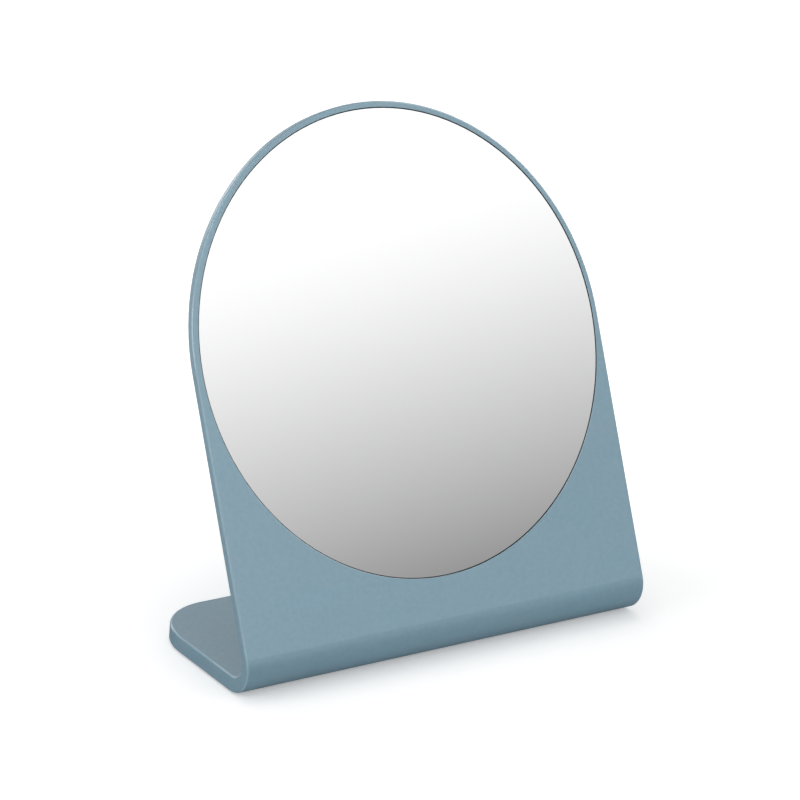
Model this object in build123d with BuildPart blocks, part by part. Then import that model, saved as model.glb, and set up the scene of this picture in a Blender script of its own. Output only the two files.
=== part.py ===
from build123d import *
import math
import os

# Free-standing vanity mirror. A round silvered glass lies in a shallow round recess of a
# one-piece moulded stand: an arched plate that leans back, a rounded bend at its foot, and
# a flat foot that runs back under the plate. Millimetres. X is the width, the mirror faces
# -Y, and Z is up. The origin is on the table, below the middle of the whole mirror.

# ---------------------------------------------------------------- driving dimensions
glass_diameter = 170.5
glass_thickness = 1.8
glass_arris = 0.15           # small bevel ground on both edges of the glass
silver_thickness = 0.1       # silver coat with its protective paint
silver_margin = 0.2          # bare edge left round the coat
tape_width = 20.0
tape_thickness = 0.3
tape_pitch = 40.0            # from one strip to the next, up the plate
tape_margin = 4.0            # from the corners of the outer strips to the edge of the coat

edge_gap = 0.2               # open ring between the glass and the wall of its recess
glass_inset = 0.35           # how far the glass lies below the face of the plate
rim_width = 2.35             # plate left outside the recess, round the arch
rim_bevel = 0.15             # eased mouth of the recess

lean_angle = 25.5            # of the plate from the vertical, degrees
plate_thickness = 3.8
glass_height = 100.5         # from the top of the bend to the middle of the glass, up the plate
bend_outer_radius = 11.0
bend_inner_radius = 5.8
foot_thickness = 6.4
foot_length = 57.0           # from the axis of the bend to the rear edge
foot_corner_radius = 22.5
edge_radius = 0.9            # soft edge all round the stand

pad_diameter = 12.0
pad_thickness = 1.0
pad_sunk = 0.6               # part of the pad that lies in its pocket
pad_clearance = 0.2          # round the pad in its pocket
pad_edge_radius = 0.3
pad_side_inset = 15.0        # pad centre to the side of the foot
pad_rear_inset = 15.0        # rear pad centre to the rear edge
pad_front_inset = 9.0        # front pad centre behind the axis of the bend

# ---------------------------------------------------------------- derived sizes
glass_radius = glass_diameter / 2
coat_radius = glass_radius - silver_margin
tape_reach = tape_pitch + tape_width / 2
tape_length = 2 * math.sqrt((coat_radius - tape_margin) ** 2 - tape_reach**2)
recess_radius = glass_radius + edge_gap
recess_depth = glass_inset + glass_thickness + silver_thickness + tape_thickness
half_width = recess_radius + rim_width
underside = pad_thickness - pad_sunk
foot_top = underside + foot_thickness

lean = math.radians(lean_angle)
face_normal = Vector(0, -math.cos(lean), math.sin(lean))
up_plate = Vector(0, math.sin(lean), math.cos(lean))

# The whole depth runs from the front of the bend to the rear of the arch's eased top edge.
# The bend's axis is placed so that the origin halves it.
arch_top = glass_height + half_width
rearmost = (
    -bend_outer_radius * math.cos(lean)
    + (arch_top - edge_radius) * math.sin(lean)
    + (plate_thickness - edge_radius) * math.cos(lean)
    + edge_radius
)
bend_axis = Vector(0, (bend_outer_radius - rearmost) / 2, underside + bend_outer_radius)

# Corners of the side section: the front face, the back face and the foot.
front_foot = bend_axis + face_normal * bend_outer_radius
glass_centre = front_foot + up_plate * glass_height
back_offset = face_normal * -plate_thickness
inner_depth = face_normal * -(plate_thickness + bend_inner_radius)
inner_rise = (foot_top + bend_inner_radius - (front_foot + inner_depth).Z) / up_plate.Z
inner_axis = front_foot + inner_depth + up_plate * inner_rise
rear_edge = bend_axis.Y + foot_length

# On the face of the plate: origin at the middle of the glass, X across, Y up the plate.
face_plane = Plane(origin=glass_centre, x_dir=(1, 0, 0), z_dir=face_normal)


def in_section(point):
    """A point of the model in the side section's own axes, Y then Z."""
    return (point.Y, point.Z)


os.makedirs("parts", exist_ok=True)

# ---------------------------------------------------------------- stand
with BuildPart() as stand:
    # plate, bend and foot in one section, up to the middle of the glass
    with BuildSketch(Plane.YZ):
        with BuildLine():
            Line(in_section(glass_centre), in_section(front_foot))
            CenterArc(in_section(bend_axis), bend_outer_radius, 180 - lean_angle, 90 + lean_angle)
            Line((bend_axis.Y, underside), (rear_edge, underside))
            Line((rear_edge, underside), (rear_edge, foot_top))
            Line((rear_edge, foot_top), (inner_axis.Y, foot_top))
            CenterArc(in_section(inner_axis), bend_inner_radius, 180 - lean_angle, 90 + lean_angle)
            Line(
                in_section(inner_axis + face_normal * bend_inner_radius),
                in_section(glass_centre + back_offset),
            )
            Line(in_section(glass_centre + back_offset), in_section(glass_centre))
        make_face()
    extrude(amount=half_width, both=True)
    # round top of the plate, about the middle of the glass
    with BuildSketch(face_plane):
        with BuildLine():
            CenterArc((0, 0), half_width, 0, 180)
            Line((-half_width, 0), (half_width, 0))
        make_face()
    extrude(amount=-plate_thickness)
    fillet(stand.edges().filter_by(Axis.Z).group_by(Axis.Y)[-1], radius=foot_corner_radius)
    # soft edge round both outlines, but not along the seams where the faces run on smoothly
    across = stand.edges().filter_by(Axis.X)
    seams = across - across.group_by(Axis.Y)[-1]
    seams += stand.edges().filter_by(Axis.Z)
    seams += stand.edges().filter_by(Axis(glass_centre, face_normal))
    fillet(stand.edges() - seams, radius=edge_radius)
    # recess of the glass, with an eased mouth
    with BuildSketch(face_plane):
        Circle(recess_radius)
    extrude(amount=-recess_depth, mode=Mode.SUBTRACT)
    mouth = stand.edges(Select.LAST).filter_by(GeomType.CIRCLE).sort_by(Axis(glass_centre, face_normal))[-1]
    chamfer(mouth, length=rim_bevel)
    # pockets of the pads
    pad_x = half_width - pad_side_inset
    pad_places = {
        "front_left": (-pad_x, bend_axis.Y + pad_front_inset),
        "front_right": (pad_x, bend_axis.Y + pad_front_inset),
        "rear_left": (-pad_x, rear_edge - pad_rear_inset),
        "rear_right": (pad_x, rear_edge - pad_rear_inset),
    }
    with BuildSketch(Plane.XY.offset(underside)):
        with Locations(*pad_places.values()):
            Circle(pad_diameter / 2 + pad_clearance)
    extrude(amount=pad_sunk, mode=Mode.SUBTRACT)
stand.part.label = "stand"
export_step(stand.part, "parts/stand.step")

# ---------------------------------------------------------------- glass and its silver coat
with BuildPart() as mirror_glass:
    with BuildSketch(face_plane.offset(-glass_inset)):
        Circle(glass_radius)
    extrude(amount=-glass_thickness)
    chamfer(mirror_glass.edges().filter_by(GeomType.CIRCLE), length=glass_arris)
mirror_glass.part.label = "mirror_glass"
export_step(mirror_glass.part, "parts/mirror_glass.step")

coat_depth = glass_inset + glass_thickness
with BuildPart() as mirror_silvering:
    with BuildSketch(face_plane.offset(-coat_depth)):
        Circle(coat_radius)
    extrude(amount=-silver_thickness)
mirror_silvering.part.label = "mirror_silvering"
export_step(mirror_silvering.part, "parts/mirror_silvering.step")

# ---------------------------------------------------------------- tape behind the glass
tape_depth = coat_depth + silver_thickness
for name, step in (("tape_upper", 1), ("tape_middle", 0), ("tape_lower", -1)):
    with BuildPart() as tape:
        with BuildSketch(face_plane.offset(-tape_depth)):
            with Locations((0, step * tape_pitch)):
                Rectangle(tape_length, tape_width)
        extrude(amount=-tape_thickness)
    tape.part.label = name
    export_step(tape.part, f"parts/{name}.step")

# ---------------------------------------------------------------- pads under the foot
for corner, place in pad_places.items():
    name = f"foot_pad_{corner}"
    with BuildPart() as pad:
        with BuildSketch(Plane.XY):
            with Locations(place):
                Circle(pad_diameter / 2)
        extrude(amount=pad_thickness)
        fillet(pad.edges().group_by(Axis.Z)[0], radius=pad_edge_radius)
    pad.part.label = name
    export_step(pad.part, f"parts/{name}.step")
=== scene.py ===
import math

import bpy
from mathutils import Matrix, Vector

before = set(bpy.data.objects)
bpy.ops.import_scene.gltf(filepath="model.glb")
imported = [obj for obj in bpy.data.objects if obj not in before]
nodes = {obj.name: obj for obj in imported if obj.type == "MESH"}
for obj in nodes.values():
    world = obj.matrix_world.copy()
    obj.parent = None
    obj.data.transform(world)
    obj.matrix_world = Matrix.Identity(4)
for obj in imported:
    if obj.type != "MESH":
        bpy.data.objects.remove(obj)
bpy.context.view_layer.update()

# A free-standing vanity mirror on a pale floor in soft studio light. Metres, in the frame of
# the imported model: X is the width, the mirror faces -Y, Z is up, and the floor is z = 0.
# A direction is given by its azimuth, from -Y towards +X, and its elevation, in degrees.

# ---------------------------------------------------------------- camera
CAMERA_PLACE = Vector((-0.6640, -0.9022, 0.5072))
CAMERA_YAW = -36.293         # degrees, from looking along +Y
CAMERA_PITCH = 20.662        # degrees below the horizon
CAMERA_ROLL = 4.915          # degrees
CAMERA_LENS = 148.83         # mm, on a sensor 36 mm wide
SENSOR_WIDTH = 36.0

# ---------------------------------------------------------------- the stand
LEAN = math.radians(25.5)
FACE_NORMAL = Vector((0, -math.cos(LEAN), math.sin(LEAN)))
FACE_MATCH = 0.999           # least dot product with it on a flat that faces the same way
PLATE_START = 0.025          # height above which the stand is all plate
FOOT_START = -0.020          # Y behind which the low part of the stand is all foot
# The wall of the recess round the glass is darkened, as painted shade in the narrow gap.
GAP = 0.00022                # from the glass to just past the wall of its recess
RECESS_REACH = 0.0015        # of that wall, either way from the middle of the glass's thickness
RECESS_SHADE_COLOURS = (0.03, 0.05, 0.06, 1), (0.05, 0.08, 0.1, 1)

# Its plastic: two colours in a wide cloud, faint streaks across the width, and a fine mottle.
# The scales are waves in a metre.
NOISE_RANGE = (0.3, 0.7)     # most of the values of any noise
CLOUD_SCALE = 22
PLASTIC_COLOURS = (0.150, 0.260, 0.328, 1), (0.165, 0.281, 0.351, 1)
STREAK_SCALES = (30, 160, 60)
STREAK_RANGE = (0.35, 0.65)
STREAK_COLOUR = (0.21, 0.27, 0.29, 1)
STREAK_SHARE = 0.12
MOTTLE_SCALE = 620
MOTTLE_TINTS = (0.93, 0.97, 0.97, 1), (1.07, 1.03, 1.03, 1)
GRAIN_SCALE = 1400
PLASTIC_ROUGHNESS = (0.32, 0.40)

# A painted highlight, a light line broken up by a noise, runs along the middle of its soft edges. There
# the dot product of the surface with the flat beside it is EDGE_MIDDLE.
EDGE_MIDDLE = math.sqrt(0.5)
EDGE_HIGHLIGHT_REACH = (0.05, 0.22)   # differences from it at which the line begins to fade and ends
EDGE_HIGHLIGHT_COLOUR = (0.62, 0.70, 0.72, 1)
PLATE_HIGHLIGHT = 0.09            # strength of the painted highlight on each part
FOOT_HIGHLIGHT = 0.12
BEND_HIGHLIGHT = 0.3
BEND_LOW = 0.010             # height below which the line is as strong as on the bend
HIGHLIGHT_BREAK_SCALE = 90
HIGHLIGHT_BREAK_RANGE = (0.3, 0.6)
HIGHLIGHT_BREAK_LEVELS = (0.6, 1.0)

# ---------------------------------------------------------------- what the mirror sees
# Brightness falls towards the horizon, across slanted bands whose upward direction is this one.
BAND_DIRECTION = Vector((-0.1856, 0.4596, 0.8685))
BAND_MIDDLE = -0.1128        # dot product with that direction where the band is BAND_LEVEL bright
BAND_LEVEL = 0.887
BAND_SLOPE = 7.66            # change of brightness with the dot product
LOW_LEVEL = 0.62             # at the horizon, below the band
LOW_SLOPE = -1.0             # change of it with height
BAND_TOP = 1.15
BAND_SOFTNESS = 0.3
FRONT_DIRECTION = Vector((0.6, -0.8, 0.0))
FRONT_REACH = (0.1, 0.6)     # dot products with it at which the front begins and is full
GREY_MIDDLE = (-12, 58)      # azimuth and elevation of a soft grey part of the studio
GREY_REACH = (12, 40)        # degrees from its middle to where it begins and ends to fade
GREY_DEPTH = 0.5
BACK_LEVEL = 0.85            # of the studio's other side

# ---------------------------------------------------------------- studio
LIGHT_AIM = Vector((0, 0, 0.06))
# Softboxes that give the plastic its sheen: azimuth, elevation and half width in degrees, and
# brightness. They stand round LIGHT_AIM, SOFTBOX_DISTANCE away.
SOFTBOX_DISTANCE = 1.5
SOFTBOXES = {
    "right": (95, 30, 25, 4.5),
    "rear_right": (143, 30, 25, 1.15),
    "rear_low": (180, 10, 14, 2.8),
    "rear_high": (180, 70, 18, 1.6),
    "rear": (-165, 40, 25, 1.15),
    "rear_left_low": (-145, 10, 14, 0.66),
    "rear_left": (-125, 35, 25, 0.9),
    "left_low": (-110, 4, 18, 14.0),
    "left_high": (-90, 60, 20, 5.7),
    "left": (-75, 20, 15, 0.55),
    "front_left": (-60, 14, 14, 4.3),
}
# The softbox in front belongs to the studio's walls, because the mirror looks through its place.
FRONT_SOFTBOX = (10, 35, 28, 3.5)
FRONT_SOFTNESS = 8           # degrees, of its edge
# Lamps that light the colours: place, size in metres and power in watts.
LAMPS = {
    "front_lamp": ((0.0, -1.3, 0.6), (0.8, 0.8), 3.6),
    "front_right_lamp": ((0.9, -0.9, 0.9), (0.8, 0.8), 2.0),
    "left_lamp": ((-1.3, 0.1, 0.6), (0.8, 0.8), 5.8),
    "overhead_lamp": ((0.1, 0.35, 1.2), (1.0, 0.8), 1.9),
}
FILL_LEVEL = 0.58            # light of the studio walls
FLOOR_COLOUR = (0.86, 0.86, 0.86, 1)
FLOOR_REACH = 6.0
# The floor's glow is smaller near FLOOR_GLOW_MIDDLE, in front of the stand, which darkens its shadow
# there as painted shade, and larger far off, which keeps the far floor white.
FLOOR_GLOW = (0.27, 0.55)    # added where the camera sees the floor, near and far
FLOOR_GLOW_MIDDLE = (0.03, -0.10, 0.0)
FLOOR_GLOW_REACH = (0.11, 0.26)
FLOOR_SHEEN = (0.3, 1.0)     # share of the floor's light in the plastic's gloss, near and far: painted shade near the stand
FLOOR_SHEEN_REACH = (0.12, 0.45)


# ---------------------------------------------------------------- node helpers
class Nodes:
    """Builds the node tree of one material or of the world."""

    def __init__(self, owner):
        owner.use_nodes = True
        self.tree = owner.node_tree
        self.tree.nodes.clear()

    def add(self, kind, inputs=None, **settings):
        node = self.tree.nodes.new(kind)
        for name, value in settings.items():
            setattr(node, name, value)
        for name, value in (inputs or {}).items():
            self.put(node.inputs[name], value)
        return node

    def put(self, socket, value):
        if isinstance(value, bpy.types.NodeSocket):
            self.tree.links.new(value, socket)
        else:
            socket.default_value = value

    def math(self, operation, *values):
        node = self.add("ShaderNodeMath", operation=operation)
        for socket, value in zip(node.inputs, values):
            self.put(socket, value)
        return node.outputs[0]

    def dot(self, first, second):
        node = self.add("ShaderNodeVectorMath", {0: first, 1: second}, operation="DOT_PRODUCT")
        return node.outputs["Value"]

    def distance(self, first, second):
        node = self.add("ShaderNodeVectorMath", {0: first, 1: second}, operation="DISTANCE")
        return node.outputs["Value"]

    def noise(self, place, scale, detail=2.0, roughness=0.5):
        inputs = {"Vector": place, "Scale": scale, "Detail": detail, "Roughness": roughness}
        return self.add("ShaderNodeTexNoise", inputs).outputs["Fac"]

    def map_range(self, value, low, high, to_low, to_high, curve="LINEAR"):
        inputs = {"Value": value, "From Min": low, "From Max": high, "To Min": to_low, "To Max": to_high}
        return self.add("ShaderNodeMapRange", inputs, interpolation_type=curve).outputs["Result"]

    def mix(self, share, first, second, blend="MIX"):
        node = self.add("ShaderNodeMix", data_type="RGBA", blend_type=blend)
        self.put(node.inputs["Factor"], share)
        self.put(node.inputs["A"], first)
        self.put(node.inputs["B"], second)
        return node.outputs["Result"]

    def between(self, share, first, second):
        """A number that goes from the first to the second as the share goes from 0 to 1."""
        node = self.add("ShaderNodeMix", {"Factor": share, "A": first, "B": second})
        return node.outputs["Result"]

    def object_place(self):
        return self.add("ShaderNodeTexCoord").outputs["Object"]

    def stretched(self, place, scale):
        return self.add("ShaderNodeMapping", {"Vector": place, "Scale": scale}).outputs["Vector"]

    def faces_front(self):
        """1 on the flat that faces the way of the plate's face, and 0 elsewhere."""
        facing = self.add("ShaderNodeTexCoord").outputs["Normal"]
        return self.math("GREATER_THAN", self.dot(facing, FACE_NORMAL), FACE_MATCH)

    def bump(self, height, strength, distance):
        inputs = {"Height": height, "Strength": strength, "Distance": distance}
        return self.add("ShaderNodeBump", inputs).outputs["Normal"]

    def principled(self, **inputs):
        shader = self.add("ShaderNodeBsdfPrincipled")
        for name, value in inputs.items():
            self.put(shader.inputs[name.replace("_", " ")], value)
        output = self.add("ShaderNodeOutputMaterial")
        self.tree.links.new(shader.outputs[0], output.inputs["Surface"])


def new_material(name):
    material = bpy.data.materials.new(name)
    return material, Nodes(material)


def dress(material, *names):
    """Gives CAD nodes a material in place of their plain one."""
    for name in names:
        slots = nodes[name].data.materials
        slots.clear()
        slots.append(material)


# ---------------------------------------------------------------- materials
def painted_edge_highlight(build, place):
    """Strength of a painted highlight along the middle of the soft edges that run round the stand."""
    facing = build.add("ShaderNodeTexCoord").outputs["Normal"]
    normal = build.add("ShaderNodeSeparateXYZ", {"Vector": facing}).outputs
    where = build.add("ShaderNodeSeparateXYZ", {"Vector": place}).outputs
    out_of_side = build.math("SUBTRACT", 1.0, build.math("MULTIPLY", normal["X"], normal["X"]))
    out_of_side = build.math("SQRT", build.math("MAXIMUM", out_of_side, 0.0))
    out_of_foot = build.math("ABSOLUTE", normal["Z"])
    out_of_plate = build.math("ABSOLUTE", build.dot(facing, FACE_NORMAL))
    on_foot = build.math("GREATER_THAN", where["Y"], FOOT_START)
    on_plate = build.math("GREATER_THAN", where["Z"], PLATE_START)
    flat = build.between(on_plate, build.between(on_foot, out_of_side, out_of_foot), out_of_plate)
    off_middle = build.math("ABSOLUTE", build.math("SUBTRACT", flat, EDGE_MIDDLE))
    line = build.map_range(off_middle, *EDGE_HIGHLIGHT_REACH, 1.0, 0.0, "SMOOTHSTEP")
    strength = build.between(on_foot, BEND_HIGHLIGHT, FOOT_HIGHLIGHT)
    up_bend = build.map_range(where["Z"], BEND_LOW, PLATE_START, 0.0, 1.0)
    strength = build.between(up_bend, strength, PLATE_HIGHLIGHT)
    breaks = build.map_range(build.noise(place, HIGHLIGHT_BREAK_SCALE), *HIGHLIGHT_BREAK_RANGE, *HIGHLIGHT_BREAK_LEVELS)
    return build.math("MULTIPLY", build.math("MULTIPLY", line, strength), breaks)


def painted_recess_shade(build, place):
    """1 on the wall of the recess that holds the glass, where its shade is painted dark, and 0
    elsewhere.
    """
    glass = nodes["mirror_glass"]
    corners = [glass.matrix_world @ Vector(corner) for corner in glass.bound_box]
    centre = sum(corners, Vector()) / len(corners)
    radius = glass.dimensions.x / 2 + GAP
    within = build.math("LESS_THAN", build.distance(place, centre), radius)
    height = build.math("SUBTRACT", build.dot(place, FACE_NORMAL), centre.dot(FACE_NORMAL))
    beside = build.math("LESS_THAN", build.math("ABSOLUTE", height), RECESS_REACH)
    return build.math("MULTIPLY", within, beside)


def stand_plastic():
    material, build = new_material("stand_plastic")
    place = build.object_place()
    cloud = build.noise(place, CLOUD_SCALE, detail=3)
    streaks = build.noise(build.stretched(place, STREAK_SCALES), 1.0, detail=3)
    streaks = build.map_range(streaks, *STREAK_RANGE, 0.0, STREAK_SHARE)
    mottle = build.map_range(build.noise(place, MOTTLE_SCALE, detail=4), *NOISE_RANGE, 0.0, 1.0)
    grain = build.noise(place, GRAIN_SCALE, detail=3)
    colour = build.mix(cloud, *PLASTIC_COLOURS)
    colour = build.mix(streaks, colour, STREAK_COLOUR)
    colour = build.mix(1.0, colour, build.mix(mottle, *MOTTLE_TINTS), "MULTIPLY")
    # Painted highlight: a light line along the soft edges, in place of the gloss they catch.
    colour = build.mix(painted_edge_highlight(build, place), colour, EDGE_HIGHLIGHT_COLOUR)
    # Painted shade: the recess wall is darkened, as the narrow gap would shade it.
    colour = build.mix(painted_recess_shade(build, place), colour, build.mix(grain, *RECESS_SHADE_COLOURS))
    build.principled(
        Base_Color=colour,
        Roughness=build.map_range(grain, *NOISE_RANGE, *PLASTIC_ROUGHNESS),
        IOR=1.5,
        Normal=build.bump(grain, 0.2, 0.00008),
    )
    return material


def silvered_glass():
    """The flat front shows the silver behind it. The edge is ground and greenish, and painted dark as
    the shade of the gap seen through it.
    """
    material, build = new_material("silvered_glass")
    front = build.faces_front()
    edge = build.math("SUBTRACT", 1.0, front)
    place = build.object_place()
    haze = build.noise(place, 30, detail=3)
    ground = build.noise(place, 3000)
    silver = build.mix(haze, (0.920, 0.921, 0.922, 1), (0.928, 0.929, 0.930, 1))
    # Painted shade: the ground edge is darkened to the shade of the gap behind it.
    green = build.mix(ground, (0.008, 0.014, 0.012, 1), (0.016, 0.026, 0.022, 1))
    build.principled(
        Base_Color=build.mix(front, green, silver),
        Metallic=front,
        Roughness=build.math("MULTIPLY", edge, build.map_range(ground, *NOISE_RANGE, 0.40, 0.60)),
        Normal=build.bump(build.math("MULTIPLY", ground, edge), 0.3, 0.00005),
    )
    return material


def silver_coat():
    """Silver in front, and the grey paint that protects it behind."""
    material, build = new_material("silver_coat")
    front = build.faces_front()
    paint = build.noise(build.object_place(), 400, detail=4)
    grey = build.mix(paint, (0.14, 0.14, 0.145, 1), (0.25, 0.25, 0.255, 1))
    build.principled(
        Base_Color=build.mix(front, grey, (0.965, 0.965, 0.965, 1)),
        Metallic=front,
        Roughness=build.between(front, 0.6, 0.02),
        Normal=build.bump(paint, 0.2, 0.00005),
    )
    return material


def mounting_tape():
    material, build = new_material("mounting_tape")
    place = build.object_place()
    cells = build.noise(place, 1200, detail=3)
    colour = build.mix(cells, (0.72, 0.72, 0.68, 1), (0.82, 0.82, 0.79, 1))
    build.principled(Base_Color=colour, Roughness=0.75, Normal=build.bump(cells, 0.4, 0.0001))
    return material


def pad_rubber():
    material, build = new_material("pad_rubber")
    place = build.object_place()
    grain = build.noise(place, 1800, detail=3)
    colour = build.mix(grain, (0.075, 0.078, 0.08, 1), (0.11, 0.113, 0.116, 1))
    build.principled(
        Base_Color=colour,
        Roughness=build.map_range(grain, *NOISE_RANGE, 0.7, 0.9),
        Normal=build.bump(grain, 0.4, 0.0001),
    )
    return material


# ---------------------------------------------------------------- studio
def direction(azimuth, elevation):
    across, up = math.radians(azimuth), math.radians(elevation)
    return Vector((math.sin(across) * math.cos(up), -math.cos(across) * math.cos(up), math.sin(up)))


def make_floor():
    mesh = bpy.data.meshes.new("floor")
    corners = [(x * FLOOR_REACH, y * FLOOR_REACH, 0) for x, y in ((-1, -1), (1, -1), (1, 1), (-1, 1))]
    mesh.from_pydata(corners, [], [(0, 1, 2, 3)])
    floor = bpy.data.objects.new("floor", mesh)
    bpy.context.scene.collection.objects.link(floor)
    material, build = new_material("studio_floor")
    rays = build.add("ShaderNodeLightPath").outputs
    place = build.object_place()
    off_middle = build.distance(place, FLOOR_GLOW_MIDDLE)
    # Painted shade: less glow in front of the stand deepens its shadow there.
    glow = build.map_range(off_middle, *FLOOR_GLOW_REACH, *FLOOR_GLOW, "SMOOTHSTEP")
    sheen = build.math("SUBTRACT", rays["Is Glossy Ray"], rays["Is Singular Ray"])
    # Painted shade: in what the plastic's gloss sees, the floor is darker near the stand.
    painted_floor_shade = build.map_range(build.distance(place, (0, 0, 0)), *FLOOR_SHEEN_REACH, *FLOOR_SHEEN)
    build.principled(
        Base_Color=build.mix(build.between(sheen, 1.0, painted_floor_shade), (0, 0, 0, 1), FLOOR_COLOUR),
        Roughness=1.0,
        Specular_IOR_Level=0.0,
        Emission_Color=(1, 1, 1, 1),
        Emission_Strength=build.math("MULTIPLY", rays["Is Camera Ray"], glow),
    )
    mesh.materials.append(material)


def spot(build, toward, azimuth, elevation, inner, outer):
    """1 within the inner angle round a direction, fading to 0 at the outer one."""
    along = build.dot(toward, direction(azimuth, elevation))
    limits = math.cos(math.radians(outer)), math.cos(math.radians(inner))
    return build.map_range(along, *limits, 0.0, 1.0, "SMOOTHSTEP")


def studio_front(build, toward):
    """Brightness of the part of the studio that the mirror faces, and 1 within that part."""
    along = build.math("SUBTRACT", build.dot(toward, BAND_DIRECTION), BAND_MIDDLE)
    band = build.math("ADD", build.math("MULTIPLY", along, BAND_SLOPE), BAND_LEVEL)
    height = build.add("ShaderNodeSeparateXYZ", {"Vector": toward}).outputs["Z"]
    low = build.math("ADD", build.math("MULTIPLY", height, LOW_SLOPE), LOW_LEVEL)
    band = build.math("SMOOTH_MIN", build.math("MAXIMUM", band, low), BAND_TOP, BAND_SOFTNESS)
    grey = build.math("MULTIPLY", spot(build, toward, *GREY_MIDDLE, *GREY_REACH), GREY_DEPTH)
    band = build.math("MULTIPLY", band, build.math("SUBTRACT", 1.0, grey))
    front = build.map_range(build.dot(toward, FRONT_DIRECTION), *FRONT_REACH, 0.0, 1.0, "SMOOTHSTEP")
    return band, front


def front_softbox(build, toward):
    azimuth, elevation, half_width, brightness = FRONT_SOFTBOX
    inner, outer = half_width - FRONT_SOFTNESS, half_width + FRONT_SOFTNESS
    return build.math("MULTIPLY", spot(build, toward, azimuth, elevation, inner, outer), brightness)


def make_world():
    world = bpy.data.worlds.new("studio")
    bpy.context.scene.world = world
    build = Nodes(world)
    rays = build.add("ShaderNodeLightPath").outputs
    camera = rays["Is Camera Ray"]
    mirrored = build.math("MAXIMUM", rays["Is Singular Ray"], rays["Is Transmission Ray"])
    glossy = build.math("SUBTRACT", rays["Is Glossy Ray"], rays["Is Singular Ray"])
    toward = build.add("ShaderNodeTexCoord").outputs["Generated"]
    fill = build.math("SUBTRACT", 1.0, build.math("ADD", camera, build.math("ADD", mirrored, glossy)))
    band, front = studio_front(build, toward)
    walls = build.math("MULTIPLY", band, front)
    shares = (
        (camera, 1.0),
        (mirrored, build.between(front, BACK_LEVEL, band)),
        (glossy, build.math("ADD", front_softbox(build, toward), walls)),
        (fill, FILL_LEVEL),
    )
    level = 0.0
    for share, brightness in shares:
        level = build.math("ADD", level, build.math("MULTIPLY", share, brightness))
    background = build.add("ShaderNodeBackground", {"Color": (1, 1, 1, 1), "Strength": level})
    output = build.add("ShaderNodeOutputWorld")
    build.tree.links.new(background.outputs[0], output.inputs["Surface"])
    world.cycles.sampling_method = "NONE"


def area_light(name, place, size, power):
    lamp = bpy.data.lights.new(name, "AREA")
    lamp.shape = "RECTANGLE"
    lamp.size, lamp.size_y = size
    lamp.energy = power
    light = bpy.data.objects.new(name, lamp)
    bpy.context.scene.collection.objects.link(light)
    light.location = place
    light.rotation_euler = (LIGHT_AIM - light.location).to_track_quat("-Z", "Y").to_euler()
    light.visible_camera = False
    return light


def make_lamps():
    for name, (place, size, power) in LAMPS.items():
        area_light(name, place, size, power).visible_glossy = False


def make_softboxes():
    for name, (azimuth, elevation, half_width, brightness) in SOFTBOXES.items():
        place = LIGHT_AIM + direction(azimuth, elevation) * SOFTBOX_DISTANCE
        side = SOFTBOX_DISTANCE * math.tan(math.radians(half_width)) * math.sqrt(math.pi)
        light = area_light(name + "_softbox", place, (side, side), brightness * math.pi * side**2)
        light.visible_diffuse = False


def make_camera():
    data = bpy.data.cameras.new("camera")
    data.sensor_width = SENSOR_WIDTH
    data.lens = CAMERA_LENS
    data.clip_start = 0.05
    data.clip_end = 30
    camera = bpy.data.objects.new("camera", data)
    bpy.context.scene.collection.objects.link(camera)
    camera.matrix_world = (
        Matrix.Translation(CAMERA_PLACE)
        @ Matrix.Rotation(math.radians(CAMERA_YAW), 4, "Z")
        @ Matrix.Rotation(math.radians(90 - CAMERA_PITCH), 4, "X")
        @ Matrix.Rotation(math.radians(CAMERA_ROLL), 4, "Z")
    )
    bpy.context.scene.camera = camera


dress(stand_plastic(), "stand")
dress(silvered_glass(), "mirror_glass")
dress(silver_coat(), "mirror_silvering")
dress(mounting_tape(), *[name for name in nodes if name.startswith("tape_")])
dress(pad_rubber(), *[name for name in nodes if name.startswith("foot_pad_")])
make_floor()
make_world()
make_lamps()
make_softboxes()
make_camera()
bpy.context.scene.view_settings.view_transform = "Standard"
